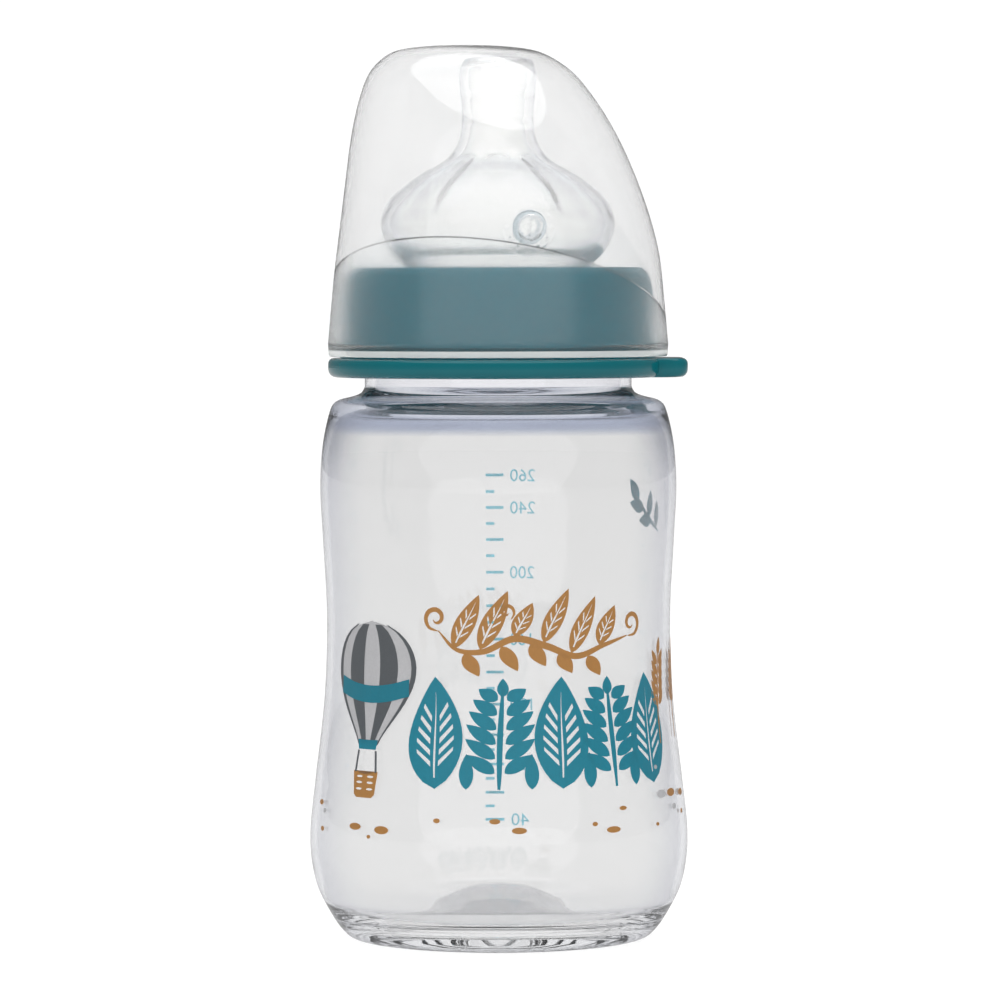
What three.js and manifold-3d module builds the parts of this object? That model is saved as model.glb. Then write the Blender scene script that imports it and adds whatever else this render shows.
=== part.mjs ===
// Wide-neck baby feeding bottle: bottle, teat, screw ring and push-on dome cap.
//
// Millimetres, +Z up. The origin is on the table, in the middle of the bottle's standing ring.
// Every piece is drawn in its own frame, with its own underside at height 0, and then stacked:
// the teat's flange lies on the bottle's rim, the ring screws down over it, the cap sits on the ring.

import * as THREE from 'three';
import { mergeVertices } from 'three/addons/utils/BufferGeometryUtils.js';
import Module from 'manifold-3d';

const wasm = await Module();
wasm.setup();

// ---------------------------------------------------------------- driving dimensions

const SIDES = 40; // facets round a turned piece
const GAP = 0.3; // clearance between two pieces that rest on each other
const FULL_TURN = 2 * Math.PI;

const bottle = {
  wall: 1.25,
  evenFrom: 12, // the wall has its even thickness between these two heights
  evenTo: 98,
  neckFoot: 104.4,
  rimHeight: 122.6,
  rimRounding: 0.5,
  neckRadius: 25.2,
  neckBore: 23.3,
};

const ring = {
  flangeThickness: 3.6,
  flangeRadius: 32.1,
  tabReach: 35.6, // from the axis to the tab's end
  tabHalfWidth: 11,
  tabCorner: 3.5,
  tabInset: 0.08, // how far its faces lie inside the flange's
  bore: 27.3, // radius of the inside wall that carries the thread
  ceiling: 19, // height of the inside face that presses the teat's flange
  height: 20.6,
  mouth: 17.8, // radius of the hole that the teat comes up through
};

const teat = {
  flangeThickness: 2,
  flangeRadius: 25.9,
  waistRadius: 17.4, // the groove that the ring's top plate lies in
  wall: 1.7,
  tipHeight: 44.4,
  feedHole: 0.5,
  ribs: 8,
  ribWidth: 3,
  ribDepth: 0.9,
  ribSink: 0.5, // how deep a rib's root goes into the wall
  ribFrom: 13, // heights between which the ribs run
  ribTo: 24,
  ventAzimuth: THREE.MathUtils.degToRad(-74.5), // just right of the front, seen from above
  ventHeight: 11.2,
  ventReach: 21.6, // how far from the axis the middle of the vent's boss lies
  ventBoss: 3.2,
  ventBossDepth: 1.6,
  ventHole: 0.5,
};

const cap = {
  wall: 0.9,
  height: 58.4,
  lipBore: 30.65, // the lip only just passes the ring's snap bead
  lipRadius: 32,
  lean: 6.2, // how far the crown's middle stands off the axis, towards -X
  leanStart: 18, // the wall is upright below this height
  leanPower: 1.65,
};

// A two-start thread: one and a half turns take the lid right off the neck.
const thread = {
  starts: 2,
  lead: 12,
  height: 1.6,
  baseWidth: 2.6,
  crestWidth: 1.2,
  sweep: 0.75 * FULL_TURN,
  neckStart: 110.5, // height of the neck thread's lower end above the table
  bury: 0.5, // how deep a thread's root goes into its wall
  firstAngle: FULL_TURN / SIDES / 4, // off the facets' edges, so that no thread edge runs along one
};

// ---------------------------------------------------------------- outlines, as [radius, height]

// Underside of the base, from the axis out to the standing ring.
const puntUnderside = [[0, 7.8], [5, 7.4], [10, 6], [14, 4.5], [18, 2.9], [21.5, 1.1], [23.5, 0]];

// Outside of the wall, from the standing ring to the shoulder: full at the foot, waisted, full again.
const bottleWall = [
  [26.2, 0], [28.3, 0.6], [30.2, 2.4], [32.6, 6.2], [34.4, 10], [35.5, 15], [35.73, 20.3],
  [34.7, 30.5], [32.95, 46], [32.46, 61], [33.2, 76], [33.66, 86], [33.1, 94], [31.8, 99.8],
];

const shoulderOutside = [[31.2, 101.1], [30.1, 101.9], [27.4, 102.6], [25.8, 103.3]];
const shoulderInside = [[23.9, 102.9], [26.8, 101.5], [29.2, 100.6], [30.3, 99.2]];

// Inside of the heel and the raised floor, from the wall in to the axis.
const floorInside = [
  [33.1, 10], [31.7, 6.8], [29.2, 4.8], [26, 4], [22, 4.3], [16, 5.8], [10, 8], [5, 9.6], [0, 10],
];

// Outside of the screw ring's collar, from the flange up past the cap's snap bead to the top plate.
const collarOutside = [
  [29.8, 3.6], [29.8, 5], [30.3, 5.6], [29.8, 6.2], [29.4, 13.8], [29, 17.3], [28.3, 19.5], [27.1, 20.6],
];

// The teat above its waist: dome, then the sweep in to the nipple, its bulb and its flat-topped tip.
const teatOutside = [
  [18.1, 4.9], [20.4, 7.2], [22.1, 12.1], [20.9, 16.1], [17.9, 19.1], [14, 21.8], [9.6, 24.4],
  [7.4, 27.6], [6.7, 32.3], [7.25, 40], [6.6, 43], [4.5, 44], [2.2, 44.4],
];

// Outside of the cap above its rim band.
const capOutside = [
  [32.12, 2.4], [31.45, 10], [30.5, 19], [28.3, 30], [25.1, 41.5], [22.3, 48.3], [19.7, 52.8],
  [17.5, 55.1], [13.9, 57.3], [8, 58.3],
];

// ---------------------------------------------------------------- helpers

// The same line moved to its left by a distance: inwards for an outside line that climbs.
function offset(line, distance) {
  return line.map(([r, z], i) => {
    const [r0, z0] = line[Math.max(i - 1, 0)];
    const [r1, z1] = line[Math.min(i + 1, line.length - 1)];
    const length = Math.hypot(r1 - r0, z1 - z0);
    return [r - (distance * (z1 - z0)) / length, z + (distance * (r1 - r0)) / length];
  });
}

// Turns an outline round the Z axis. Outside lines climb and inside lines come down.
function turn(outline) {
  const points = outline.map(([r, z]) => new THREE.Vector2(r, z));
  return new THREE.LatheGeometry(points, SIDES).rotateX(Math.PI / 2);
}

// Turns an outline that closes on itself, for a piece with a hole down its axis.
function turnClosed(outline) {
  return turn([...outline, outline[0]]);
}

// A closed three.js geometry as a solid that can be joined and cut.
function solid(geometry) {
  const bare = new THREE.BufferGeometry();
  bare.setAttribute('position', geometry.getAttribute('position'));
  bare.setIndex(geometry.index);
  const merged = mergeVertices(bare, 1e-4);
  const corners = merged.index.array;
  const kept = [];
  for (let i = 0; i < corners.length; i += 3) {
    const [a, b, c] = corners.slice(i, i + 3);
    if (a !== b && b !== c && c !== a) kept.push(a, b, c);
  }
  const vertProperties = merged.getAttribute('position').array;
  return new wasm.Manifold(new wasm.Mesh({ numProp: 3, vertProperties, triVerts: new Uint32Array(kept) }));
}

// The solid back as a three.js geometry.
function geometryOf(body) {
  const mesh = body.getMesh();
  const geometry = new THREE.BufferGeometry();
  geometry.setAttribute('position', new THREE.BufferAttribute(mesh.vertProperties, 3));
  geometry.setIndex(new THREE.BufferAttribute(mesh.triVerts, 1));
  geometry.computeVertexNormals();
  return geometry;
}

function piece(name, geometry, material) {
  const mesh = new THREE.Mesh(geometry, new THREE.MeshStandardMaterial({ metalness: 0, ...material }));
  mesh.name = name;
  return mesh;
}

// One thread start: a straight trapezoid bar bent into a helix. Its height fades out at both ends.
// side is 1 for a rib that stands out of a neck and -1 for one that stands into a bore.
function threadRib(rootRadius, side, startHeight, startAngle) {
  const fade = 0.12; // share of the length that each end takes to fade
  const sink = 0.15; // share of the thread's height that its ends lie below the wall
  const steps = Math.round((SIDES * thread.sweep) / FULL_TURN);
  const crest = thread.crestWidth / 2;
  const slope = (thread.baseWidth - thread.crestWidth) / (2 * thread.height);
  const foot = crest + slope * (thread.height + thread.bury);
  const section = new THREE.Shape([
    new THREE.Vector2(-thread.bury, -foot),
    new THREE.Vector2(thread.height, -crest),
    new THREE.Vector2(thread.height, crest),
    new THREE.Vector2(-thread.bury, foot),
  ]);
  const bar = new THREE.ExtrudeGeometry(section, { depth: 1, steps, bevelEnabled: false });
  const position = bar.getAttribute('position');
  for (let i = 0; i < position.count; i += 1) {
    const along = side > 0 ? 1 - position.getZ(i) : position.getZ(i);
    const ramp = Math.min(1, along / fade, (1 - along) / fade) * (1 + sink) - sink;
    const standing = position.getX(i) > 0 ? thread.height * ramp : -thread.bury;
    const radius = rootRadius + side * standing;
    const angle = startAngle + along * thread.sweep;
    const height = startHeight + position.getY(i) + (along * thread.sweep * thread.lead) / FULL_TURN;
    position.setXYZ(i, radius * Math.cos(angle), radius * Math.sin(angle), height);
  }
  return solid(bar);
}

// The body with all the starts of its thread.
function withThread(body, rootRadius, side, startHeight) {
  let threaded = body;
  for (let start = 0; start < thread.starts; start += 1) {
    const angle = thread.firstAngle + (start * FULL_TURN) / thread.starts;
    threaded = threaded.add(threadRib(rootRadius, side, startHeight, angle));
  }
  return threaded;
}

// ---------------------------------------------------------------- pieces

function makeBottle() {
  const { wall, evenFrom, evenTo, neckFoot, rimHeight, rimRounding, neckRadius, neckBore } = bottle;
  const inside = offset(bottleWall, wall).filter(([, z]) => z > evenFrom && z < evenTo).reverse();
  const neck = [
    [neckRadius, neckFoot], [neckRadius, rimHeight - rimRounding], [neckRadius - rimRounding, rimHeight],
    [neckBore + rimRounding, rimHeight], [neckBore, rimHeight - rimRounding], [neckBore, neckFoot - 0.2],
  ];
  const outline = [
    ...puntUnderside, ...bottleWall, ...shoulderOutside, ...neck,
    ...shoulderInside, ...inside, ...floorInside,
  ];
  const body = withThread(solid(turn(outline)), neckRadius, 1, thread.neckStart);
  return piece('bottle', geometryOf(body), { color: 0xe9edef, roughness: 0.08 });
}

// The silicone teat: flange, waist, dome and nipple, with a feeding hole, ribs inside and a vent.
function makeTeat() {
  const { flangeThickness, flangeRadius, waistRadius, wall, tipHeight, feedHole } = teat;
  const ceiling = tipHeight - wall;
  const isLining = ([r, z]) => r > feedHole + 1 && z < ceiling - 0.1;
  const lining = offset(teatOutside, wall).filter(isLining).reverse();
  const bore = waistRadius - wall;
  const outline = [
    [bore, 0], [flangeRadius, 0], [flangeRadius, flangeThickness], [waistRadius, flangeThickness],
    [waistRadius, flangeThickness + 2.2], ...teatOutside, [feedHole, tipHeight],
    [feedHole, ceiling], ...lining, [bore, flangeThickness + 2.4],
  ];
  let body = solid(turnClosed(outline));

  // Ribs inside the dome keep it from closing up: each follows the lining from the sweep to the side.
  const ribLine = lining.filter(([, z]) => z > teat.ribFrom && z < teat.ribTo);
  const ribOutline = [...offset(ribLine, -teat.ribSink), ...offset(ribLine, teat.ribDepth).reverse()];
  const ribShape = new THREE.Shape(ribOutline.map(([r, z]) => new THREE.Vector2(r, z)));
  for (let i = 0; i < teat.ribs; i += 1) {
    const rib = new THREE.ExtrudeGeometry(ribShape, { depth: teat.ribWidth, bevelEnabled: false });
    rib.translate(0, 0, -teat.ribWidth / 2);
    rib.rotateX(Math.PI / 2);
    rib.rotateZ(((i + 0.5) * FULL_TURN) / teat.ribs);
    body = body.add(solid(rib));
  }

  // The vent: a low round boss on the front of the dome, with a pinhole through it.
  const boss = new THREE.CylinderGeometry(teat.ventBoss, teat.ventBoss, teat.ventBossDepth, 24);
  const pinhole = new THREE.CylinderGeometry(teat.ventHole, teat.ventHole, 4 * wall, 8);
  for (const tool of [boss, pinhole]) {
    tool.rotateZ(-Math.PI / 2);
    tool.translate(teat.ventReach, 0, teat.ventHeight);
    tool.rotateZ(teat.ventAzimuth);
  }
  body = body.add(solid(boss)).subtract(solid(pinhole));
  return piece('teat', geometryOf(body), { color: 0xe6e2dc, roughness: 0.35 });
}

// The screw ring: threaded collar, top plate, flange with a thumb tab, and a bead that the cap snaps over.
function makeScrewRing(place) {
  const { flangeThickness, flangeRadius, bore, ceiling, height, mouth } = ring;
  const outline = [
    [bore + 0.7, 0], [flangeRadius - 1.5, 0], [flangeRadius - 0.4, 0.5], [flangeRadius, 1.5],
    [flangeRadius, flangeThickness - 1], [flangeRadius - 0.9, flangeThickness],
    ...collarOutside, [mouth + 0.5, height], [mouth, height - 0.4], [mouth, ceiling],
    [bore - 0.7, ceiling], [bore, ceiling - 0.7], [bore, 0.8],
  ];
  let body = solid(turnClosed(outline));

  // The thumb tab grows out of the flange towards +X, with its edges bevelled.
  const { tabReach, tabHalfWidth, tabCorner, tabInset } = ring;
  const tab = new THREE.Shape();
  tab.moveTo(bore + 1, -tabHalfWidth);
  tab.lineTo(tabReach - tabCorner, -tabHalfWidth);
  tab.absarc(tabReach - tabCorner, tabCorner - tabHalfWidth, tabCorner, -Math.PI / 2, 0, false);
  tab.absarc(tabReach - tabCorner, tabHalfWidth - tabCorner, tabCorner, 0, Math.PI / 2, false);
  tab.lineTo(bore + 1, tabHalfWidth);
  const bevel = 0.7;
  const slab = new THREE.ExtrudeGeometry(tab, {
    depth: flangeThickness - 2 * (bevel + tabInset),
    curveSegments: 4,
    bevelThickness: bevel,
    bevelSize: bevel,
    bevelOffset: -bevel,
    bevelSegments: 2,
  });
  slab.translate(0, 0, bevel + tabInset);
  body = body.add(solid(slab));

  // The ring's thread lies just under the neck's, by the flanks' contact distance and the clearance.
  const flankSlope = (thread.baseWidth - thread.crestWidth) / (2 * thread.height);
  const drop = thread.baseWidth - flankSlope * (bore - bottle.neckRadius) + GAP;
  body = withThread(body, bore, -1, thread.neckStart - drop - place);
  return piece('screw_ring', geometryOf(body), { color: 0x0f7c88, roughness: 0.2 });
}

// The clear dome cap, drawn upright and then leaned: every level slides towards -X as one circle.
function makeCap() {
  const { wall, height, lipBore, lipRadius, lean, leanStart, leanPower } = cap;
  const inside = offset(capOutside, wall).filter(([r, z]) => r > 4 && z < height - wall - 0.05).reverse();
  const geometry = turn([
    [0, height - wall], ...inside, [lipBore + 0.5, 2.2], [lipBore, 1.6], [lipBore, 0.3], [lipBore + 0.3, 0],
    [lipRadius - 0.3, 0], [lipRadius, 0.3], ...capOutside, [0, height],
  ]);
  const position = geometry.getAttribute('position');
  for (let i = 0; i < position.count; i += 1) {
    const climb = Math.max(position.getZ(i) - leanStart, 0) / (height - leanStart);
    position.setX(i, position.getX(i) - lean * climb ** leanPower);
  }
  return piece('cap', geometryOf(solid(geometry)), { color: 0xf1f3f3, roughness: 0.15 });
}

// ---------------------------------------------------------------- the stack

const teatPlace = bottle.rimHeight + GAP;
const ringPlace = teatPlace + teat.flangeThickness + GAP - ring.ceiling;
const capPlace = ringPlace + ring.flangeThickness + GAP;

const bottleMesh = makeBottle();
const teatMesh = makeTeat();
teatMesh.position.z = teatPlace;
const ringMesh = makeScrewRing(ringPlace);
ringMesh.position.z = ringPlace;
const capMesh = makeCap();
capMesh.position.z = capPlace;

const lid = new THREE.Group();
lid.add(teatMesh, ringMesh, capMesh);

const babyBottle = new THREE.Group();
babyBottle.add(bottleMesh, lid);

export default babyBottle;
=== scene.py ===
"""Looks for the baby bottle: clear bottle with printed decoration, teal screw ring, soft teat and dome cap.

Outlines are in millimetres, as [radius, height] or as [distance round the wall, height].
Meshes are in metres.
"""

import math

import bmesh
import bpy
import numpy as np
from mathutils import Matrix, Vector
from mathutils.geometry import delaunay_2d_cdt


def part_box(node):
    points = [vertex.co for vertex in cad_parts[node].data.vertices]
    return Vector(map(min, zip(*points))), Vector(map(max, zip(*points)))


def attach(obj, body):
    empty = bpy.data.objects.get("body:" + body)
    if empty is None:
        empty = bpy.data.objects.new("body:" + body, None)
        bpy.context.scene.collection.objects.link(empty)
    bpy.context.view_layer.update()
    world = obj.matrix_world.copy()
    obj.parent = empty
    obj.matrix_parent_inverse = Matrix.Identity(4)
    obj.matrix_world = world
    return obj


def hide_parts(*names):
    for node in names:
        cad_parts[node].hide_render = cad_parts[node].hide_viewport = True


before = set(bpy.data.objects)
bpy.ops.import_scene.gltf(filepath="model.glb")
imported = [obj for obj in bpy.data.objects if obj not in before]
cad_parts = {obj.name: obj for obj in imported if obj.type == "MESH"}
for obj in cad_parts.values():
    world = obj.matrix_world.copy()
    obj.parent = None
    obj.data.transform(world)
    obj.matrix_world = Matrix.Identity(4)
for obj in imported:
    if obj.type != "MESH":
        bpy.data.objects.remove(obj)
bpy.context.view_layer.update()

MM = 0.001
FULL_TURN = 2 * math.pi
MERGE = 1e-7  # metres: points closer than this are one
SHARP_ANGLE = math.radians(50)

# ---------------------------------------------------------------- sizes, in millimetres

WALL = 1.25  # the bottle's wall
NECK_RADIUS = 25.2
NECK_BORE = 23.3
TEAT_WALL = 1.7
CAP_WALL = 0.9
PRINT_RADIUS = 33.0  # distances round the wall are measured at this radius
FILM_LIFT = 0.03  # gap between a print and what it lies on
FILM_THICKNESS = 0.02
FLOOR_ROOM = 14.0  # millilitres below the height of 10 mm inside

THREAD = {"starts": 2, "lead": 12.0, "height": 1.6, "base": 2.6, "crest": 1.2, "sweep": 0.75 * FULL_TURN}
THREAD_START = 110.5  # height of the neck thread's lower end above the table
THREAD_FIRST_ANGLE = math.radians(2.25)
THREAD_FADE = 0.12  # share of the sweep over which a thread rises at each end
RING_THREAD_DROP = 1.98  # the ring's thread lies this far below the neck's

BADGE_ANGLE = math.radians(-74.5)
BADGE_HEIGHT = 11.2  # above the teat's underside
BADGE_RADIUS = 22.1  # how far the dome's wall is from the axis there

BASE_UNDERSIDE = [[0, 7.8], [5, 7.4], [10, 6], [14, 4.5], [18, 2.9], [21.5, 1.1], [23.5, 0]]
BOTTLE_WALL = [
    [26.2, 0], [28.3, 0.6], [30.2, 2.4], [32.6, 6.2], [34.4, 10], [35.5, 15], [35.73, 20.3],
    [34.7, 30.5], [32.95, 46], [32.46, 61], [33.2, 76], [33.66, 86], [33.1, 94], [31.8, 99.8],
]
SHOULDER_OUTSIDE = [[31.2, 101.1], [30.1, 101.9], [27.4, 102.6], [25.8, 103.3]]
SHOULDER_INSIDE = [[23.9, 102.9], [26.8, 101.5], [29.2, 100.6], [30.3, 99.2]]
FLOOR_INSIDE = [
    [33.1, 10], [31.7, 6.8], [29.2, 4.8], [26, 4], [22, 4.3], [16, 5.8], [10, 8], [5, 9.6], [0, 10],
]
TEAT_OUTSIDE = [
    [18.1, 4.9], [20.4, 7.2], [22.1, 12.1], [20.9, 16.1], [17.9, 19.1], [14, 21.8], [9.6, 24.4],
    [7.4, 27.6], [6.7, 32.3], [7.25, 40], [6.6, 43], [4.5, 44], [2.2, 44.4],
]
CAP_OUTSIDE = [
    [32.12, 2.4], [31.45, 10], [30.5, 19], [28.3, 30], [25.1, 41.5], [22.3, 48.3], [19.7, 52.8],
    [17.5, 55.1], [13.9, 57.3], [8, 58.3],
]
COLLAR_OUTSIDE = [[30.3, 5.6], [29.8, 6.2], [29.4, 13.8], [29, 17.3], [28.3, 19.5], [27.1, 20.6]]

# ---------------------------------------------------------------- lines


def smooth(points, step=0.8):
    """A smooth line through all the points. Where it starts or ends on the axis it crosses the axis level."""
    line = [np.array(p, float) for p in points]
    mirrored = np.array([-1, 1])
    before = line[1] * mirrored if line[0][0] == 0 else 2 * line[0] - line[1]
    after = line[-2] * mirrored if line[-1][0] == 0 else 2 * line[-1] - line[-2]
    line = [before, *line, after]
    made = [line[1]]
    for a, b, c, d in zip(line, line[1:], line[2:], line[3:]):
        # Centripetal Catmull-Rom: the knots are spaced by the root of each chord, so it can't overshoot.
        t1 = np.linalg.norm(b - a) ** 0.5
        t2 = t1 + np.linalg.norm(c - b) ** 0.5
        t3 = t2 + np.linalg.norm(d - c) ** 0.5
        count = max(1, math.ceil(np.linalg.norm(c - b) / step))
        for t in np.linspace(t1, t2, count + 1)[1:]:
            ab = (a * (t1 - t) + b * t) / t1
            bc = (b * (t2 - t) + c * (t - t1)) / (t2 - t1)
            cd = (c * (t3 - t) + d * (t - t2)) / (t3 - t2)
            abc = (ab * (t2 - t) + bc * t) / t2
            bcd = (bc * (t3 - t) + cd * (t - t1)) / (t3 - t1)
            made.append((abc * (t2 - t) + bcd * (t - t1)) / (t2 - t1))
    return made


def straight(start, end, step):
    """A straight line cut into steps, without its first point."""
    count = max(1, math.ceil(math.dist(start, end) / step))
    return [np.array(start) + (np.array(end) - np.array(start)) * k / count for k in range(1, count + 1)]


def rounded(corners, step):
    """A line of straight runs with round corners between its ends. Each corner is [x, y, radius]."""
    made = []
    for i, (x, y, radius) in enumerate(corners):
        here = np.array([x, y], float)
        if i in (0, len(corners) - 1) or radius == 0:
            arc = [here]
        else:
            to_last = np.array(corners[i - 1][:2], float) - here
            to_next = np.array(corners[i + 1][:2], float) - here
            to_last /= np.linalg.norm(to_last)
            to_next /= np.linalg.norm(to_next)
            half = math.acos(np.clip(to_last @ to_next, -1, 1)) / 2
            middle = here + (to_last + to_next) / np.linalg.norm(to_last + to_next) * radius / math.sin(half)
            foot = here + to_last * radius / math.tan(half)
            first = foot - middle
            last = here + to_next * radius / math.tan(half) - middle
            turn = math.atan2(first[0] * last[1] - first[1] * last[0], first @ last)
            arc = []
            for a in [turn * k / 4 for k in range(5)]:
                across = first[0] * math.cos(a) - first[1] * math.sin(a)
                up = first[0] * math.sin(a) + first[1] * math.cos(a)
                arc.append(middle + [across, up])
        if made:
            made += straight(made[-1], arc[0], step)
            arc = arc[1:]
        made += arc
    return made


def offset(line, distance):
    """The same line moved to its left by a distance: inwards for an outside line that climbs."""
    moved = []
    for i, (r, z) in enumerate(line):
        r0, z0 = line[max(i - 1, 0)]
        r1, z1 = line[min(i + 1, len(line) - 1)]
        length = math.hypot(r1 - r0, z1 - z0)
        moved.append([r - distance * (z1 - z0) / length, z + distance * (r1 - r0) / length])
    return moved


def raised(line, height):
    """A line moved up to where its piece stands."""
    return [[r, z + height] for r, z in line]


# ---------------------------------------------------------------- meshes


def columns(count, dense_at=None, dense_half=0.0, dense_count=0):
    """Angles round a turned piece: evenly spaced, with closer ones where there is fine detail."""
    angles = list(np.arange(count) * FULL_TURN / count)
    if dense_count:
        close = dense_at + np.linspace(-dense_half, dense_half, dense_count)
        close = np.mod(close, FULL_TURN)
        near = [abs(math.remainder(a - dense_at, FULL_TURN)) < dense_half for a in angles]
        angles = [a for a, hidden in zip(angles, near) if not hidden] + list(close)
    return np.sort(np.array(angles))


def turned(name, outline, angles, shape, closed=False):
    """Turns an outline round the Z axis. shape gets radius, angle and height, and returns x, y and z."""
    line = np.array(outline)
    radius, angle = np.meshgrid(line[:, 0], angles, indexing="ij")
    height = np.repeat(line[:, 1:2], len(angles), axis=1)
    points = np.stack(shape(radius, angle, height), axis=-1).reshape(-1, 3) * MM
    rows, around = radius.shape
    faces = []
    for i in range(rows if closed else rows - 1):
        a = i * around
        b = (i + 1) % rows * around
        for j in range(around):
            k = (j + 1) % around
            faces.append((a + j, a + k, b + k, b + j))
    mesh = bpy.data.meshes.new(name)
    mesh.from_pydata(points.tolist(), [], faces)
    work = bmesh.new()
    work.from_mesh(mesh)
    bmesh.ops.remove_doubles(work, verts=work.verts, dist=MERGE)
    work.to_mesh(mesh)
    work.free()
    mesh.shade_smooth()
    mesh.set_sharp_from_angle(angle=SHARP_ANGLE)
    piece = bpy.data.objects.new(name, mesh)
    bpy.context.scene.collection.objects.link(piece)
    return piece


def plain_turn(radius, angle, height):
    """The place of each point, where nothing stands out."""
    return radius * np.cos(angle), radius * np.sin(angle), height


def thread_height(angle, height, start_height):
    """How far the thread stands out of its wall at each point."""
    found = np.zeros_like(height)
    flank = (THREAD["base"] - THREAD["crest"]) / 2
    for start in range(THREAD["starts"]):
        along = np.mod(angle - THREAD_FIRST_ANGLE - start * FULL_TURN / THREAD["starts"], FULL_TURN)
        middle = start_height + along * THREAD["lead"] / FULL_TURN
        fade = np.clip(np.minimum(along, THREAD["sweep"] - along) / (THREAD_FADE * THREAD["sweep"]), 0, 1)
        side = np.clip((THREAD["base"] / 2 - np.abs(height - middle)) / flank, 0, 1)
        found = np.maximum(found, THREAD["height"] * side * fade)
    return found


def place(piece, body, slot, *nodes):
    """Ties a piece to its CAD body, and lets it stand for CAD nodes. The slot is not used."""
    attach(piece, body)
    if nodes:
        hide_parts(*nodes)


# ---------------------------------------------------------------- materials


def material(name, colour, **values):
    """A Principled material. values are its sockets, with spaces written as underscores."""
    made = bpy.data.materials.new(name)
    made.use_nodes = True
    shader = made.node_tree.nodes["Principled BSDF"]
    shader.inputs["Base Color"].default_value = (*colour, 1)
    for socket, value in values.items():
        shader.inputs[socket.replace("_", " ")].default_value = value
    return made


def noise(made, scale, detail=4.0):
    """Noise in the piece's own space, in metres. Returns its factor socket."""
    nodes, links = made.node_tree.nodes, made.node_tree.links
    where = nodes.new("ShaderNodeTexCoord")
    pattern = nodes.new("ShaderNodeTexNoise")
    pattern.inputs["Scale"].default_value = scale
    pattern.inputs["Detail"].default_value = detail
    links.new(where.outputs["Object"], pattern.inputs["Vector"])
    return pattern.outputs["Fac"]


def vary(made, factor, socket, low, high):
    """Makes one socket follow a pattern between two values."""
    nodes, links = made.node_tree.nodes, made.node_tree.links
    ramp = nodes.new("ShaderNodeMapRange")
    ramp.inputs["From Min"].default_value = 0.3
    ramp.inputs["From Max"].default_value = 0.7
    ramp.inputs["To Min"].default_value = low
    ramp.inputs["To Max"].default_value = high
    links.new(factor, ramp.inputs["Value"])
    links.new(ramp.outputs["Result"], nodes["Principled BSDF"].inputs[socket])


def tint(made, factor, dark, light):
    """Makes the base colour follow a pattern between two colours. Returns the mix."""
    nodes, links = made.node_tree.nodes, made.node_tree.links
    mix = nodes.new("ShaderNodeMix")
    mix.data_type = "RGBA"
    mix.inputs["A"].default_value = (*dark, 1)
    mix.inputs["B"].default_value = (*light, 1)
    links.new(factor, mix.inputs["Factor"])
    links.new(mix.outputs["Result"], nodes["Principled BSDF"].inputs["Base Color"])
    return mix


def bump(made, factor, depth):
    """Raises the surface by a pattern, up to a depth in metres."""
    nodes, links = made.node_tree.nodes, made.node_tree.links
    relief = nodes.new("ShaderNodeBump")
    relief.inputs["Strength"].default_value = 1.0
    relief.inputs["Distance"].default_value = depth
    links.new(factor, relief.inputs["Height"])
    links.new(relief.outputs["Normal"], nodes["Principled BSDF"].inputs["Normal"])


def absorb(made, colour, density):
    """Tints what shows through thick places. density is per metre."""
    nodes, links = made.node_tree.nodes, made.node_tree.links
    inside = nodes.new("ShaderNodeVolumeAbsorption")
    inside.inputs["Color"].default_value = (*colour, 1)
    inside.inputs["Density"].default_value = density
    links.new(inside.outputs["Volume"], nodes["Material Output"].inputs["Volume"])


def darken_edges(made, middle, edge):
    """Paints shade into the base colour: a piece is darker where it is seen along its wall than where it is
    seen through. Returns the mix.
    """
    nodes, links = made.node_tree.nodes, made.node_tree.links
    facing = nodes.new("ShaderNodeLayerWeight")
    facing.inputs["Blend"].default_value = 0.5
    share = nodes.new("ShaderNodeMapRange")
    share.interpolation_type = "SMOOTHSTEP"
    share.inputs["From Min"].default_value = 0.3
    share.inputs["From Max"].default_value = 0.9
    links.new(facing.outputs["Facing"], share.inputs["Value"])
    return tint(made, share.outputs["Result"], middle, edge)


def colour_by_height(made, socket, stops):
    """Makes a colour socket follow the height. Each stop is a height in millimetres and its colour."""
    nodes, links = made.node_tree.nodes, made.node_tree.links
    low, high = stops[0][0], stops[-1][0]
    where = nodes.new("ShaderNodeTexCoord")
    apart = nodes.new("ShaderNodeSeparateXYZ")
    share = nodes.new("ShaderNodeMapRange")
    share.inputs["From Min"].default_value = low * MM
    share.inputs["From Max"].default_value = high * MM
    ramp = nodes.new("ShaderNodeValToRGB")
    colours = ramp.color_ramp.elements
    colours[0].color = (*stops[0][1], 1)
    colours[1].color = (*stops[-1][1], 1)
    for height, colour in stops[1:-1]:
        colours.new((height - low) / (high - low)).color = (*colour, 1)
    links.new(where.outputs["Object"], apart.inputs["Vector"])
    links.new(apart.outputs["Z"], share.inputs["Value"])
    links.new(share.outputs["Result"], ramp.inputs["Fac"])
    links.new(ramp.outputs["Color"], socket)


# The shoulder is thicker than the wall below it. Painted shade: the base colour is greyer on the shoulder,
# and darker still on the upper wall and shoulder where they are seen edge-on.
SHADE_SEEN_THROUGH = [
    (70, (0.83, 0.83, 0.83)),
    (95.6, (0.84, 0.84, 0.84)),
    (97.6, (0.58, 0.61, 0.69)),
    (101.2, (0.66, 0.69, 0.76)),
    (104.4, (0.88, 0.88, 0.9)),
]
SHADE_SEEN_EDGE_ON = [
    (70, (0.64, 0.65, 0.7)),
    (86, (0.58, 0.59, 0.66)),
    (94, (0.26, 0.28, 0.35)),
    (102, (0.3, 0.32, 0.38)),
    (106, (0.75, 0.76, 0.78)),
]
clear_plastic = material("clear_polypropylene", (0.93, 0.935, 0.945), Transmission_Weight=0.985, IOR=1.49)
vary(clear_plastic, noise(clear_plastic, 260), "Roughness", 0.01, 0.04)
bump(clear_plastic, noise(clear_plastic, 30, 1.0), 0.00001)
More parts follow.
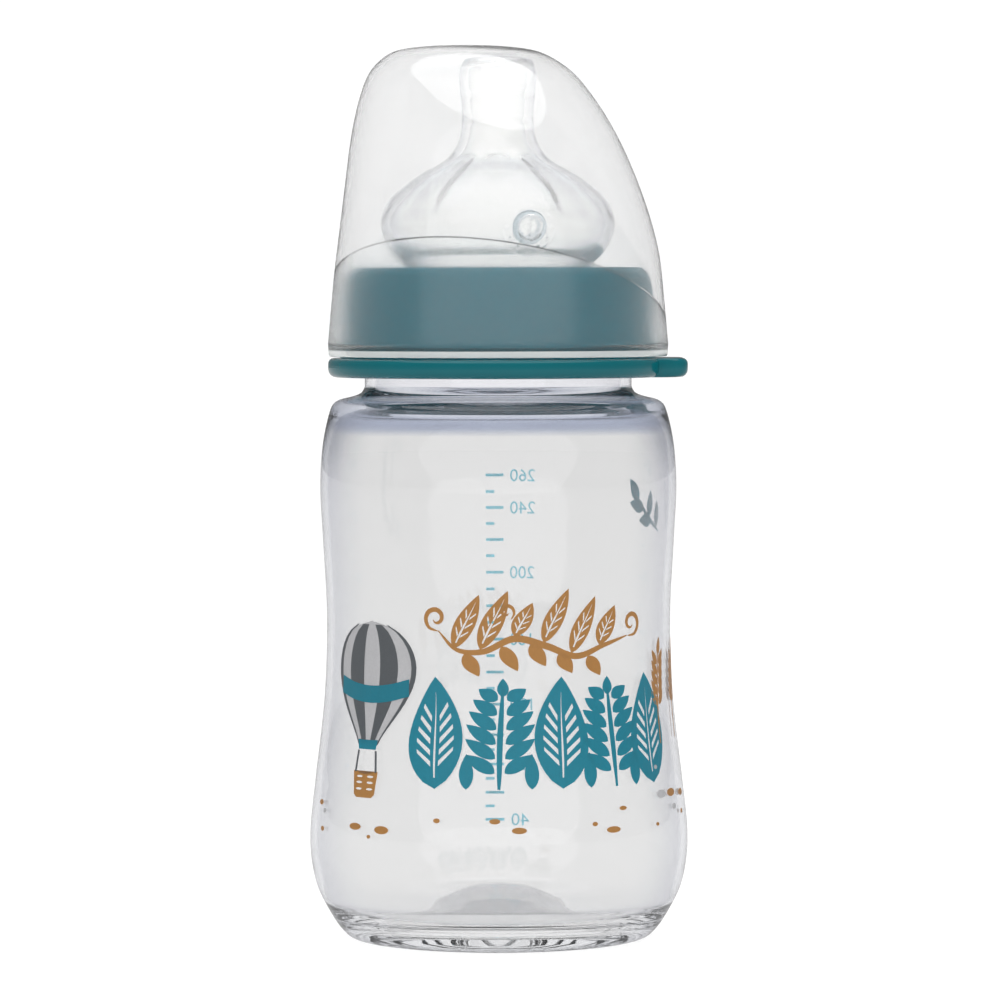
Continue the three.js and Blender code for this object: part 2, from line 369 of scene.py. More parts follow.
absorb(clear_plastic, (0.25, 0.28, 0.36), 3)
# Painted shade: the wall's colour follows the height, greyer on the shoulder, darker still where it is seen
# edge-on.
painted_wall_shade = darken_edges(clear_plastic, SHADE_SEEN_THROUGH[0][1], SHADE_SEEN_EDGE_ON[0][1])
colour_by_height(clear_plastic, painted_wall_shade.inputs["A"], SHADE_SEEN_THROUGH)
colour_by_height(clear_plastic, painted_wall_shade.inputs["B"], SHADE_SEEN_EDGE_ON)

clear_cap = material("clear_cap_gloss", (0.94, 0.94, 0.94), Transmission_Weight=0.96, IOR=1.49)
vary(clear_cap, noise(clear_cap, 240), "Roughness", 0.02, 0.06)
bump(clear_cap, noise(clear_cap, 25, 1.0), 0.000004)
absorb(clear_cap, (0.35, 0.37, 0.38), 12)
# Painted shade: the cap is a touch darker where its wall is seen edge-on.
darken_edges(clear_cap, (0.94, 0.94, 0.94), (0.92, 0.92, 0.925))

frosted_cap = material("clear_cap_frosted", (0.97, 0.975, 0.975), Transmission_Weight=0.985, IOR=1.4)
vary(frosted_cap, noise(frosted_cap, 900), "Roughness", 0.17, 0.23)
bump(frosted_cap, noise(frosted_cap, 1200, 2.0), 0.000002)
absorb(frosted_cap, (0.35, 0.37, 0.38), 12)

cap_rim = material("clear_cap_rim", (0.85, 0.87, 0.86), Transmission_Weight=0.7, IOR=1.49)
vary(cap_rim, noise(cap_rim, 300), "Roughness", 0.06, 0.14)
bump(cap_rim, noise(cap_rim, 60, 2.0), 0.000005)

silicone = material("silicone_translucent", (0.995, 0.995, 0.99), Transmission_Weight=0.89, IOR=1.41)
vary(silicone, noise(silicone, 500), "Roughness", 0.06, 0.16)
bump(silicone, noise(silicone, 700, 3.0), 0.00001)
absorb(silicone, (0.5, 0.5, 0.48), 2)
# Painted shade: the teat turns grey-blue where its wall is seen edge-on.
darken_edges(silicone, (0.985, 0.985, 0.98), (0.7, 0.72, 0.78))

# The raised ring round the vent's badge is thicker. Painted shade: it gets a greyer copy of the silicone, for
# the dark outline it shows.
silicone_badge_shade = material("silicone_badge_ring_shade", (0.6, 0.68, 0.72), Transmission_Weight=0.84, IOR=1.41)
vary(silicone_badge_shade, noise(silicone_badge_shade, 600), "Roughness", 0.1, 0.2)

teal_plastic = material("ring_teal_gloss", (0.001, 0.08, 0.095), IOR=1.45)
tint(teal_plastic, noise(teal_plastic, 90), (0.001, 0.076, 0.091), (0.0015, 0.088, 0.104))
vary(teal_plastic, noise(teal_plastic, 700), "Roughness", 0.07, 0.13)
bump(teal_plastic, noise(teal_plastic, 500, 2.0), 0.000002)

# The collar is moulded with a satin finish.
teal_collar = material("ring_teal_satin", (0.001, 0.075, 0.1), IOR=1.42, Specular_IOR_Level=0.15)
tint(teal_collar, noise(teal_collar, 90), (0.001, 0.07, 0.095), (0.0015, 0.08, 0.108))
vary(teal_collar, noise(teal_collar, 800), "Roughness", 0.3, 0.4)
bump(teal_collar, noise(teal_collar, 700, 2.0), 0.000004)


def ink(name, colour, let_through=0.45):
    """Screen-printed ink: matt, with a fine speckle, and thin enough to let some light through."""
    made = material(name, colour, Transmission_Weight=let_through, IOR=1.45)
    fine = noise(made, 2400, 3.0)
    tint(made, fine, [c * 0.86 for c in colour], [min(1, c * 1.1) for c in colour])
    vary(made, fine, "Roughness", 0.35, 0.5)
    bump(made, fine, 0.000006)
    return made


inks = {
    "print_teal": ink("ink_teal", (0.001, 0.2, 0.28)),
    "print_ochre": ink("ink_ochre", (0.4, 0.19, 0.046)),
    "print_light_grey": ink("ink_light_grey", (0.46, 0.46, 0.47)),
    "print_dark_grey": ink("ink_dark_grey", (0.1, 0.11, 0.12)),
    "print_scale": ink("ink_scale", (0.2, 0.75, 0.9), 0.6),
    "print_mark": ink("ink_mark", (0.001, 0.2, 0.29)),
}

# ---------------------------------------------------------------- bottle

neck_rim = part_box("bottle")[1].z / MM
inside_points = [
    [NECK_BORE, 104.2],
    *SHOULDER_INSIDE,
    *[p for p in offset(BOTTLE_WALL, WALL) if 12 < p[1] < 98][::-1],
    *FLOOR_INSIDE,
]
wall_line = smooth([*BASE_UNDERSIDE, *BOTTLE_WALL, *SHOULDER_OUTSIDE, [NECK_RADIUS, 104.4]], 1.0)
wall_line = [[r, max(z, 0)] for r, z in wall_line]
inside_line = smooth(inside_points, 1.0)
neck_line = rounded(
    [
        [NECK_RADIUS, 104.4, 0],
        [NECK_RADIUS, neck_rim, 0.5],
        [NECK_BORE, neck_rim, 0.5],
        [NECK_BORE, 104.2, 0],
    ],
    0.3,
)


def bottle_shape(radius, angle, height):
    """The thread on the neck's outside."""
    on_neck = (radius > NECK_RADIUS - 0.02) & (radius < NECK_RADIUS + 0.02) & (height > 104.5)
    stands = np.where(on_neck, thread_height(angle, height, THREAD_START), 0)
    return plain_turn(radius + stands, angle, height)


bottle = turned("bottle_body", [*wall_line, *neck_line[1:-1], *inside_line], columns(224), bottle_shape)
bottle.data.materials.append(clear_plastic)
place(bottle, "bottle", "clear_body", "bottle")

# ---------------------------------------------------------------- prints on the wall

wall_heights = [z for r, z in wall_line if r > 26 and z > 0.5]
wall_radii = [r for r, z in wall_line if r > 26 and z > 0.5]


def wrapped(points, lift):
    """Points [distance round the wall, height, extra lift] on the bottle's wall, in metres."""
    points = np.array(points, float)
    angle = points[:, 0] / PRINT_RADIUS
    radius = np.interp(points[:, 1], wall_heights, wall_radii) + lift + points[:, 2]
    return np.stack([radius * np.sin(angle), -radius * np.cos(angle), points[:, 1]], axis=-1) * MM


def inside_loops(points, loops):
    """Which points lie inside the loops. A loop inside another is a hole."""
    found = np.zeros(len(points), bool)
    x, y = points[:, 0], points[:, 1]
    for loop in loops:
        for (x1, y1), (x2, y2) in zip(loop, [*loop[1:], loop[0]]):
            if y1 != y2:
                found ^= ((y1 > y) != (y2 > y)) & (x < (x2 - x1) * (y - y1) / (y2 - y1) + x1)
    return found


def film(name, slot, ink_name, patches, lift=FILM_LIFT):
    """Thin films of ink. Each patch is a list of loops: its outline, and the outlines of its holes."""
    verts, faces = [], []
    for group in patches:
        flat, edges = [], []
        for loop in group:
            first = len(flat)
            flat += [Vector((float(x), float(y))) for x, y in loop]
            edges += [(first + k, first + (k + 1) % len(loop)) for k in range(len(loop))]
        low, high = np.min(flat, axis=0), np.max(flat, axis=0)
        # Points inside the patch let the film follow the wall.
        across, up = np.arange(low[0], high[0], 1.3), np.arange(low[1], high[1], 1.7)
        grid = np.array([[x, y] for x in across for y in up])
        flat += [Vector(p) for p in grid[inside_loops(grid, group)]]
        points, _, triangles, *_ = delaunay_2d_cdt(flat, edges, [], 0, 1e-5)
        middles = np.array([np.mean([points[k] for k in t], axis=0) for t in triangles])
        kept = [t for t, on in zip(triangles, inside_loops(middles, group)) if on]
        count, first = len(points), len(verts)
        verts += [[*p, FILM_THICKNESS] for p in points] + [[*p, 0] for p in points]
        sides = {}
        for t in kept:
            faces.append([first + k for k in t])
            faces.append([first + count + k for k in t[::-1]])
            for a, b in zip(t, [*t[1:], t[0]]):
                sides[(a, b)] = True
        # A side that only one triangle has is on the patch's edge.
        for a, b in sides:
            if (b, a) not in sides:
                faces.append([first + b, first + a, first + count + a, first + count + b])
    mesh = bpy.data.meshes.new(name)
    mesh.from_pydata(wrapped(verts, lift).tolist(), [], faces)
    work = bmesh.new()
    work.from_mesh(mesh)
    loose = [v for v in work.verts if not v.link_faces]
    bmesh.ops.delete(work, geom=loose)
    work.to_mesh(mesh)
    work.free()
    mesh.materials.append(inks[ink_name])
    piece = bpy.data.objects.new(name, mesh)
    bpy.context.scene.collection.objects.link(piece)
    place(piece, "bottle", slot)


def stroke(points, width, ends=0.15):
    """A drawn line: even in its middle and thin at its ends."""
    line = smooth(points, 0.7)
    t = np.linspace(0, 1, len(line))
    half = width / 2 * np.maximum(np.sin(math.pi * t) ** 0.5, ends)
    left = [offset(line, h)[k] for k, h in enumerate(half)]
    right = [offset(line, -h)[k] for k, h in enumerate(half)]
    return [*left, *right[::-1]]


def oval(x, y, width, height):
    """The outline of an upright oval round x, y."""
    turns = np.linspace(0, FULL_TURN, 20, endpoint=False)
    return [[x + width / 2 * math.cos(turn), y + height / 2 * math.sin(turn)] for turn in turns]


def curl(x, y, radius, start, turns, width):
    """A curl that winds inwards from its outer end."""
    steps = np.linspace(0, 1, 10)
    points = []
    for t in steps:
        turn = start + turns * FULL_TURN * t
        reach = radius * (1 - 0.75 * t)
        points.append([x + reach * math.cos(turn), y + reach * math.sin(turn)])
    return stroke(points, width)


def leaf(x, y, heading, length, width, bend=0.0, veins=0):
    """A leaf that grows from x, y in a direction in degrees. Its midrib and veins are left bare."""
    forward = np.array([math.cos(math.radians(heading)), math.sin(math.radians(heading))])
    aside = np.array([-forward[1], forward[0]])

    def at(t, across):
        """The place at a share of the length, and at a share of the half width to the left."""
        swell = math.sin(math.pi * t**0.8) ** 0.85 if 0 < t < 1 else 0
        curve = bend * math.sin(math.pi * t / 2) ** 2
        return np.array([x, y]) + forward * length * t + aside * (curve + across * swell * width / 2)

    shares = np.linspace(0, 1, 16)
    loops = [[*[at(t, 1) for t in shares], *[at(t, -1) for t in shares[-2:0:-1]]]]
    if veins:
        rib = 0.5 / width
        shares = np.linspace(0.1, 0.86, 10)
        left = [at(t, rib * (1.1 - t)) for t in shares]
        right = [at(t, -rib * (1.1 - t)) for t in shares]
        loops.append([*left, *right[::-1]])
        for k in range(veins):
            foot = 0.2 + 0.5 * k / veins
            for side in (-1, 1):
                near, far = side * 0.17, side * 0.68
                vein = ((foot, near), (foot + 0.13, far), (foot + 0.165, far), (foot + 0.05, near))
                loops.append([at(*corner) for corner in vein])
    return loops


def fern(x, y, height, width, lean):
    """An upright stem with pairs of leaflets, each its own patch of ink."""
    tip = [x + lean, y + height]
    patches = [[stroke([[x, y], [x + lean * 0.3, y + height / 2], tip], 1.1, 0.5)]]
    pairs = 6
    for k in range(pairs):
        t = 0.16 + 0.72 * k / (pairs - 1)
        size = width / 2 * math.sin(math.pi * (0.28 + 0.6 * t)) + 0.8
        for side in (-1, 1):
            heading = 90 - side * 52
            foot_x = x + lean * t + side * 0.9
            patches.append(leaf(foot_x, y + height * t, heading, size, 2.5, -side * 0.5))
    patches.append(leaf(tip[0], tip[1] - 1.6, 90, 3.4, 2.2))
    return patches


# A row of plump leaves and ferns in teal.
leaf_row = []
for x, lean in ((-11.5, 5), (11.5, -4), (32.5, 5)):
    leaf_row.append(leaf(x, 31, 90 + lean, 20.5, 10.5, -lean / 4, veins=5))
for x, lean in ((0, 0.8), (22.5, -0.8)):
    leaf_row += fern(x, 31, 18.5, 11.5, lean)
for x in (-5.8, 5.9, 17.0, 27.3):
    leaf_row.append(leaf(x, 31, 90, 6.5, 2.6))
film("print_leaf_row", "print_teal", "print_teal", leaf_row)

# A vine in ochre over the row: a waving stem, leaves that lean to the right, and curls.
vine_stem = [[-11.5, 60], [-8, 56.6], [-3, 56.2], [3, 58.6], [9, 57.2], [15, 55.2], [21, 57], [27, 58.6]]
vine = [[stroke(vine_stem, 1.3)]]
for x, y, length, width in (
    (-8.5, 56.8, 11, 3.8), (-3.5, 56.6, 12, 4), (3, 59, 7, 3.4), (8.5, 57.8, 11, 3.6), (14, 55.8, 11.5, 3.6),
    (20, 57.2, 8, 3.8),
):
    vine.append(leaf(x, y, 68, length, width, -0.8, veins=3))
for x, y, length in ((-6.5, 55.8, 5), (0.5, 57.2, 5.5), (6, 57.6, 5), (11.5, 55.8, 4.5), (17.5, 55.2, 4.5)):
    vine.append(leaf(x, y, -62, length, 2.8, 0.6))
vine.append([curl(-12, 62.3, 2.4, math.radians(-80), -1.2, 0.9)])
vine.append([curl(28.2, 60.9, 2.5, math.radians(-110), 1.2, 0.9)])
vine.append([curl(1.5, 63.5, 1.6, math.radians(-60), 1.1, 0.7)])
film("print_vine", "print_ochre", "print_ochre", vine)

# A hot-air balloon in grey, with dark stripes, a teal band and an ochre basket.
balloon_x, balloon_foot, balloon_top, balloon_half = -26.5, 38.5, 61.4, 10.6
balloon_mouth = 0.24  # its mouth's width as a share of its greatest width
balloon_widest = 0.62  # the share of its height where it is widest


def balloon_width(t):
    """Half width of the balloon's bag at a share of its height."""
    if t < balloon_widest:
        swell = math.sin(math.pi / 2 * t / balloon_widest) ** 1.25
        return balloon_half * (balloon_mouth + (1 - balloon_mouth) * swell)
    return balloon_half * math.sqrt(max(0, 1 - ((t - balloon_widest) / (1 - balloon_widest)) ** 2))


def meridian(turn, low=0.0, high=1.0):
    """One seam of the bag, from its foot up, at a turn in degrees round it."""
    shares = np.linspace(low, high, 18)
    side = math.sin(math.radians(turn))
    rise = balloon_top - balloon_foot
    return [[balloon_x + side * balloon_width(t), balloon_foot + rise * t] for t in shares]


bag = [*meridian(90), *meridian(-90)[-2::-1]]
film("print_balloon_bag", "print_light_grey", "print_light_grey", [[bag]])
stripes = []
for left in (-90, -38, 12, 64):
    stripes.append([[*meridian(left, 0, 0.97), *meridian(left + 26, 0, 0.97)[::-1]]])
film("print_balloon_stripes", "print_dark_grey", "print_dark_grey", stripes, 2 * FILM_LIFT)
band = []
for x, sag in ((-1, 0), (-0.5, 1.1), (0, 1.5), (0.5, 1.1), (1, 0)):
    band.append([balloon_x + x * balloon_width(0.4), balloon_foot + 9.2 - sag])
band = [*smooth(band), *[[x, y + 3.2] for x, y in smooth(band)[::-1]]]
mouth = [[balloon_x + x, balloon_foot + y] for x, y in ((-2.6, 0.9), (-2.2, -0.9), (2.2, -0.9), (2.6, 0.9))]
film("print_balloon_band", "print_teal", "print_teal", [[band], [mouth]], 3 * FILM_LIFT)
ropes = []
for side in (-1, 1):
    rope = [[balloon_x + side * x, y] for x, y in ((2.2, 37.4), (2.4, 35.6), (2.6, 33.4))]
    ropes.append([stroke(rope, 0.5, 1)])
film("print_balloon_ropes", "print_dark_grey", "print_dark_grey", ropes)
basket_corners = ((-3.1, 33.6), (-2.6, 29.3), (-1.9, 28.7), (1.9, 28.7), (2.6, 29.3), (3.1, 33.6))
basket = [[balloon_x + x, y] for x, y in basket_corners]
weave = [oval(balloon_x + x, y, 1.5, 0.42) for y in (30.3, 31.5, 32.6) for x in (-1.35, 1.35)]
film("print_balloon_basket", "print_ochre", "print_ochre", [[basket, *weave]])

# Ears of grain at the right.
grain = []
for x, y, height, lean in ((36.5, 38, 17, 1.5), (45.5, 38.5, 16, 3)):
    grain.append([stroke([[x, y], [x + lean * 0.3, y + height * 0.5], [x + lean, y + height]], 0.6, 0.6)])
    for k in range(5):
        for side in (-1, 1):
            foot_x = x + lean * (0.35 + 0.12 * k) + side * 0.5
            foot_y = y + height * (0.42 + 0.11 * k)
            grain.append(leaf(foot_x, foot_y, 90 - side * 30, 3.4, 1.5, -side * 0.2))
    grain.append(leaf(x + lean, y + height - 0.6, 90 - 6 * lean, 3.4, 1.5))
film("print_grain", "print_ochre", "print_ochre", grain)

# Pebbles along the ground, as [distance, height, width, thickness].
ochre_pebbles = [
    [-28, 23.3, 3, 1.3], [-21.7, 23, 3.1, 1.5], [-24.5, 21.6, 0.9, 0.7], [-10.9, 25.2, 1.2, 0.9],
    [-0.7, 25.2, 1.9, 1], [3.5, 23.5, 2.6, 1.2], [17.3, 24.3, 1.1, 0.8], [23.5, 26.9, 1.7, 0.8],
    [21.1, 23.1, 3, 1.2], [32.4, 23.3, 1, 0.7], [38.6, 28.7, 3.4, 1.5], [44.4, 28.3, 3, 1.3],
    [43.6, 24.8, 1.4, 0.9], [-40.7, 26.8, 2, 1], [-39, 22, 1.6, 0.9],
]
grey_pebbles = [[34.7, 28.7, 3.2, 1.5], [39.5, 26, 1.8, 1.1], [33.5, 33.8, 1.1, 0.8], [-38.6, 25.4, 1.4, 0.9]]
film("print_pebbles_ochre", "print_ochre", "print_ochre", [[oval(*p)] for p in ochre_pebbles])
film("print_pebbles_grey", "print_light_grey", "print_light_grey", [[oval(*p)] for p in grey_pebbles])

# A plain sprig towards the back at the right.
sprig = [[stroke([[61, 76.5], [66, 78.5], [72, 82.5]], 0.9)]]
for x, y, heading in ((62.5, 77.4, 80), (65.5, 78.6, -8), (66.5, 79.2, 88), (69, 80.6, 8), (71, 82, 50)):
    sprig.append(leaf(x, y, heading, 5, 2.6, 0.3))
film("print_sprig", "print_teal", "print_mark", sprig)

# ---------------------------------------------------------------- volume scale on the back

# The scale's heights come from the room inside: each level's area times its step, added up.
BACK = PRINT_RADIUS * math.pi
SCALE_SHORTFALL = 7.8  # millilitres that the scale leaves out
TICK_HALF = 0.27  # half of a tick's thickness
levels = np.linspace(10, 100, 400)
deepest = np.argmin([z for r, z in inside_line])
wall_inside = [[z, r] for r, z in inside_line[:deepest]]
areas = math.pi * np.interp(levels, *np.array(sorted(wall_inside)).T) ** 2
volumes = np.cumsum(areas) * (levels[1] - levels[0]) / 1000 + FLOOR_ROOM - SCALE_SHORTFALL

ticks = []
for volume in range(40, 261, 10):
    y = float(np.interp(volume, volumes, levels))
    left = BACK - 1.0 if volume % 20 == 0 else BACK + 0.8
    right = BACK + 2.5
    low, high = y - TICK_HALF, y + TICK_HALF
    ticks.append([[[left, low], [right, low], [right, high], [left, high]]])
film("print_scale_ticks", "print_teal", "print_scale", ticks)


def number(text, right, middle, height):
    """A printed number whose right end and middle height are given."""
    font = bpy.data.curves.new("number_" + text, "FONT")
    font.body = text
    font.extrude = FILM_THICKNESS / 2
    font.resolution_u = 4
    drawn = bpy.data.objects.new("print_number_" + text, font)
    bpy.context.scene.collection.objects.link(drawn)
    mesh = bpy.data.meshes.new_from_object(drawn.evaluated_get(bpy.context.evaluated_depsgraph_get()))
    bpy.data.objects.remove(drawn)
    points = np.array([v.co for v in mesh.vertices])
    low, high = points.min(0), points.max(0)
    size = height / (high[1] - low[1])
    points[:, 0] = right + (points[:, 0] - high[0]) * size
    points[:, 1] = middle + (points[:, 1] - (low[1] + high[1]) / 2) * size
    for vertex, co in zip(mesh.vertices, wrapped(points, FILM_LIFT + FILM_THICKNESS / 2)):
        vertex.co = co
    work = bmesh.new()
    work.from_mesh(mesh)
    bmesh.ops.remove_doubles(work, verts=work.verts, dist=MERGE)
    work.to_mesh(mesh)
    work.free()
    mesh.materials.clear()
    mesh.materials.append(inks["print_scale"])
    piece = bpy.data.objects.new("print_number_" + text, mesh)
    bpy.context.scene.collection.objects.link(piece)
    place(piece, "bottle", "print_teal")


for volume in (40, 80, 120, 160, 200, 240, 260):
    number(str(volume), BACK - 2.3, float(np.interp(volume, volumes, levels)), 2.4)

# ---------------------------------------------------------------- teat

teat_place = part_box("teat")[0].z / MM
teat_tip = 44.4
feed_hole = 0.5
teat_waist = 17.4
teat_flange = 25.9
teat_bore = teat_waist - TEAT_WALL
lining = offset(TEAT_OUTSIDE, TEAT_WALL)
lining = [p for p in lining if p[0] > feed_hole + 1 and p[1] < teat_tip - TEAT_WALL - 0.1]
teat_line = rounded(
    [
        [teat_bore, 0, 0],
        [teat_flange, 0, 0.6],
        [teat_flange, 2, 0.6],
        [teat_waist, 2, 0.4],
        [teat_waist, 4.2, 0],
    ],
    0.6,
)
teat_line = [[teat_bore, 0.2], *teat_line[1:]]
dome_line = smooth([[teat_waist, 4.2], *TEAT_OUTSIDE, [feed_hole, teat_tip]], 0.22)
lining_line = smooth([[feed_hole, teat_tip - TEAT_WALL], *lining[::-1], [teat_bore, 4.4]], 0.45)
teat_outline = raised([*teat_line, *dome_line[1:], *lining_line], teat_place)
outside_rows = len(teat_line) + len(dome_line) - 1


def teat_shape(radius, angle, height):
    """Ribs inside the dome, moulded rings inside the nipple, and a raised badge round the vent."""
    z = height - teat_place
    row = np.arange(len(radius))[:, None] + 0 * angle
    inside = row >= outside_rows
    outside = ~inside
    wave = np.cos(8 * angle)
    finger = 0.5 + 0.5 * np.sin(np.clip(wave / 0.6, -1, 1) * math.pi / 2)
    reach = np.clip((z - 12.5) / 2, 0, 1) * np.clip((24.5 - z) / 1.5, 0, 1)
    radius = np.where(inside, radius - 0.6 * finger * reach, radius)
    for ring_height in (31.6, 36.5):
        radius = np.where(inside, radius - 0.35 * np.exp(-(((z - ring_height) / 0.35) ** 2)), radius)
    # Distance from the badge's middle, along the dome.
    across = BADGE_RADIUS * np.vectorize(math.remainder)(angle - BADGE_ANGLE, FULL_TURN)
    away = np.hypot(across, (z - BADGE_HEIGHT) * 1.03)
    front = outside & (np.abs(across) < 9)
    edge = 0.75 * np.clip((3.3 - away) / 0.3, 0, 1) - 0.6 * np.clip((2.5 - away) / 0.3, 0, 1)
    outer_ring = 0.14 * np.clip(1 - np.abs(away - 5.2) / 0.28, 0, 1)
    dots = np.zeros_like(away)
    for k in range(12):
        turn = k * FULL_TURN / 12
        dot = np.hypot(across - 4.25 * math.cos(turn), z - BADGE_HEIGHT - 4.25 * math.sin(turn))
        dots += 0.2 * np.clip((0.42 - dot) / 0.2, 0, 1)
    slit_end = np.clip((1.5 - np.abs(z - BADGE_HEIGHT)) / 0.1, 0, 1)
    slit = 0.3 * np.clip((0.22 - np.abs(across)) / 0.1, 0, 1) * slit_end
    radius = np.where(front, radius + edge + outer_ring + dots - slit, radius)
    return plain_turn(radius, angle, height)


teat_angles = columns(160, BADGE_ANGLE, math.radians(17), 72)
teat = turned("teat_body", teat_outline, teat_angles, teat_shape, closed=True)
teat.data.materials.append(silicone)
teat.data.materials.append(silicone_badge_shade)
badge_x, badge_y = BADGE_RADIUS * math.cos(BADGE_ANGLE), BADGE_RADIUS * math.sin(BADGE_ANGLE)
badge = Vector((badge_x, badge_y, teat_place + BADGE_HEIGHT)) * MM
# Painted shade: the raised ring's faces take the greyer silicone.
for face in teat.data.polygons:
    if 2.45 * MM < (face.center - badge).length < 3.3 * MM:
        face.material_index = 1
place(teat, "teat", "silicone", "teat")

# ---------------------------------------------------------------- screw ring

ring_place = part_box("screw_ring")[0].z / MM
ring_bore = 27.3
flange_radius = 32.1
tab_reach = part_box("screw_ring")[1].x / MM
tab_half_width = 11.0
tab_corner = 3.5
flange_top = 3.6
ring_line = rounded(
    [
        [28, 0, 0],
        [flange_radius, 0, 1.5],
        [flange_radius, flange_top, 1.0],
        [29.8, flange_top, 0.3],
        [29.8, 5, 0],
    ],
    0.5,
)
collar_line = smooth([[29.8, 5], *COLLAR_OUTSIDE], 0.5)[1:-1]
top_line = rounded(
    [
        [27.1, 20.6, 0],
        [17.8, 20.6, 0.5],
        [17.8, 19, 0.25],
        [ring_bore, 19, 0.7],
        [ring_bore, 0.7, 0],
    ],
    0.3,
)
ring_outline = raised([*ring_line, *collar_line, *top_line], ring_place)
tab_edge = tab_reach - tab_corner
tab_angles = columns(180, 0.0, math.radians(24), 64)


def tab_distance(angle):
    """How far the tab's outline lies from the axis in each direction, found by halving."""
    low = np.full(angle.shape, flange_radius - 4)
    high = np.full(angle.shape, tab_reach + 4)
    for _ in range(30):
        middle = (low + high) / 2
        x = middle * np.cos(angle)
        y = np.abs(middle * np.sin(angle))
        past_x = np.maximum(x - tab_edge, 0)
        past_y = np.maximum(y - tab_half_width + tab_corner, 0)
        inside = (np.hypot(past_x, past_y) < tab_corner) & (np.cos(angle) > 0)
        low = np.where(inside, middle, low)
        high = np.where(inside, high, middle)
    return low


def ring_shape(radius, angle, height):
    """The thumb tab at the flange's edge, and the thread in the bore."""
    z = height - ring_place
    share = np.clip((radius - 29.9) / 0.8, 0, 1) * (z < flange_top + 0.1)
    beyond = np.maximum(tab_distance(angle) - flange_radius, 0)
    in_bore = (np.abs(radius - ring_bore) < 0.02) & (z < 18.5)
    start_height = THREAD_START - RING_THREAD_DROP - ring_place
    stands = np.where(in_bore, thread_height(angle, z, start_height), 0)
    return plain_turn(radius + share * beyond - stands, angle, height)


screw_ring = turned("screw_ring_body", ring_outline, tab_angles, ring_shape, closed=True)
screw_ring.data.materials.append(teal_plastic)
screw_ring.data.materials.append(teal_collar)
for face in screw_ring.data.polygons:
    face.material_index = int(face.center.z > (ring_place + flange_top + 0.05) * MM)
place(screw_ring, "ring", "teal_ring", "screw_ring")

# ---------------------------------------------------------------- cap

cap_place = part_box("cap")[0].z / MM
cap_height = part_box("cap")[1].z / MM - cap_place
cap_lean = 6.2
lean_start = 18.0
lean_power = 1.65
cap_inside = [p for p in offset(CAP_OUTSIDE, CAP_WALL) if p[0] > 4 and p[1] < cap_height - CAP_WALL - 0.05]
rim_line = [[30.65, 1.6], [30.65, 0.3], [30.75, 0.09], [30.95, 0], [31.7, 0], [31.91, 0.09], [32, 0.3]]
outside_line = smooth([*CAP_OUTSIDE, [0, cap_height]])
inner_line = smooth([[0, cap_height - CAP_WALL], *cap_inside[::-1], [31.15, 2.2]])
cap_outline = raised([*rim_line, *outside_line, *inner_line], cap_place)


def cap_shape(radius, angle, height):
    """Every level slides towards -X as one circle, so that the crown leans."""
    climb = np.maximum(height - cap_place - lean_start, 0) / (cap_height - lean_start)
    x, y, z = plain_turn(radius, angle, height)
    return x - cap_lean * climb**lean_power, y, z


cap = turned("cap_dome", cap_outline, columns(224), cap_shape, closed=True)
cap.data.materials.append(clear_cap)
cap.data.materials.append(frosted_cap)
cap.data.materials.append(cap_rim)

# The frosted skirt ends at a slanting plane, high at the front and low at the back.
# Below it all is the polished rim.
frost_point = Vector((0, 0, 0.1210))
frost_normal = Vector((0.138, 0.359, 1)).normalized()
work = bmesh.new()
work.from_mesh(cap.data)
rim_top = Vector((0, 0, cap_place + 1.2)) * MM
for point, normal in ((frost_point, frost_normal), (rim_top, Vector((0, 0, 1)))):
    everything = [*work.verts, *work.edges, *work.faces]
    bmesh.ops.bisect_plane(work, geom=everything, plane_co=point, plane_no=normal)
for face in work.faces:
    middle = face.calc_center_median()
    if middle.z < rim_top.z:
        face.material_index = 2
    elif (middle - frost_point).dot(frost_normal) < 0:
        face.material_index = 1
work.to_mesh(cap.data)
work.free()
place(cap, "cap", "clear_cap", "cap")

# ---------------------------------------------------------------- studio

scene = bpy.context.scene
scene.view_settings.view_transform = "Standard"
# Light goes through many clear walls, and reaches what is inside them undimmed.
scene.cycles.max_bounces = 32
scene.cycles.transmission_bounces = 32
scene.cycles.glossy_bounces = 12
scene.cycles.blur_glossy = 0.0

floor_half = 6
floor_corners = [(floor_half * x, floor_half * y, 0) for x, y in ((-1, -1), (1, -1), (1, 1), (-1, 1))]
floor_mesh = bpy.data.meshes.new("floor")
floor_mesh.from_pydata(floor_corners, [], [(0, 1, 2, 3)])
floor = bpy.data.objects.new("floor", floor_mesh)
floor.location.z = -0.0002
scene.collection.objects.link(floor)
floor_white = material("floor_white", (0.2, 0.2, 0.2), Roughness=0.9, Specular_IOR_Level=0.0)
floor_mesh.materials.append(floor_white)


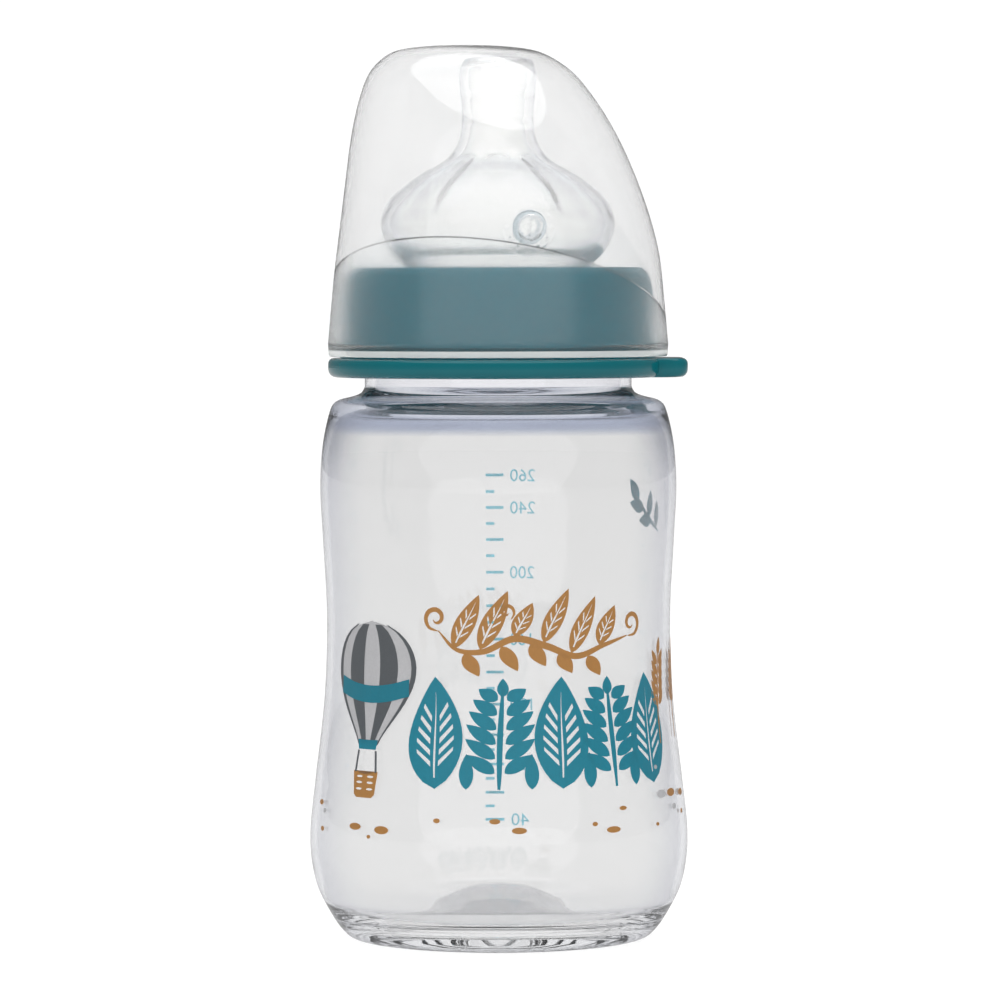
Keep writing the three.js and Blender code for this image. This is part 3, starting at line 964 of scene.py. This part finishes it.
def dim_mirrored(tree, strength, plain, mirrored):
    """Gives a light's strength one level, and a lower one where it is mirrored in gloss, as with flags."""
    ray = tree.nodes.new("ShaderNodeLightPath")
    mirror = tree.nodes.new("ShaderNodeMath")
    mirror.operation = "SUBTRACT"
    mirror.use_clamp = True
    level = tree.nodes.new("ShaderNodeMapRange")
    level.inputs["To Min"].default_value = plain
    level.inputs["To Max"].default_value = mirrored
    tree.links.new(ray.outputs["Is Reflection Ray"], mirror.inputs[0])
    tree.links.new(ray.outputs["Is Diffuse Ray"], mirror.inputs[1])
    tree.links.new(mirror.outputs["Value"], level.inputs["Value"])
    tree.links.new(level.outputs["Result"], strength)


floor_shader = floor_white.node_tree.nodes["Principled BSDF"]
floor_shader.inputs["Emission Color"].default_value = (1, 1, 1, 1)
dim_mirrored(floor_white.node_tree, floor_shader.inputs["Emission Strength"], 0.83, 0.3)

world = bpy.data.worlds.new("studio")
scene.world = world
world.use_nodes = True
backdrop = world.node_tree.nodes["Background"]
backdrop.inputs["Color"].default_value = (1, 1, 1, 1)
dim_mirrored(world.node_tree, backdrop.inputs["Strength"], 1.05, 0.2)


def softbox(name, location, target, width, depth, watts, mirrored):
    """A soft light that faces a target. mirrored says whether it shows in gloss."""
    lamp = bpy.data.lights.new(name, "AREA")
    lamp.shape = "ELLIPSE"
    lamp.size = width
    lamp.size_y = depth
    lamp.energy = watts
    holder = bpy.data.objects.new(name, lamp)
    holder.location = location
    holder.rotation_euler = (Vector(target) - Vector(location)).to_track_quat("-Z", "Y").to_euler()
    holder.visible_glossy = mirrored
    scene.collection.objects.link(holder)


softbox("overhead", (0, -0.2, 1.4), (0, 0, 0.1), 2.4, 2.0, 18, True)
softbox("front", (0, -1.6, 0.6), (0, 0, 0.1), 4.5, 1.6, 20, False)

camera = bpy.data.objects.new("camera", bpy.data.cameras.new("camera"))
camera.data.lens = 205.2
camera.data.sensor_width = 36
camera.location = (0.00038, -1.0773, 0.1226)
camera.rotation_euler = (math.radians(90 - 2.11), math.radians(0.1), 0)
scene.collection.objects.link(camera)
bpy.context.scene.camera = camera
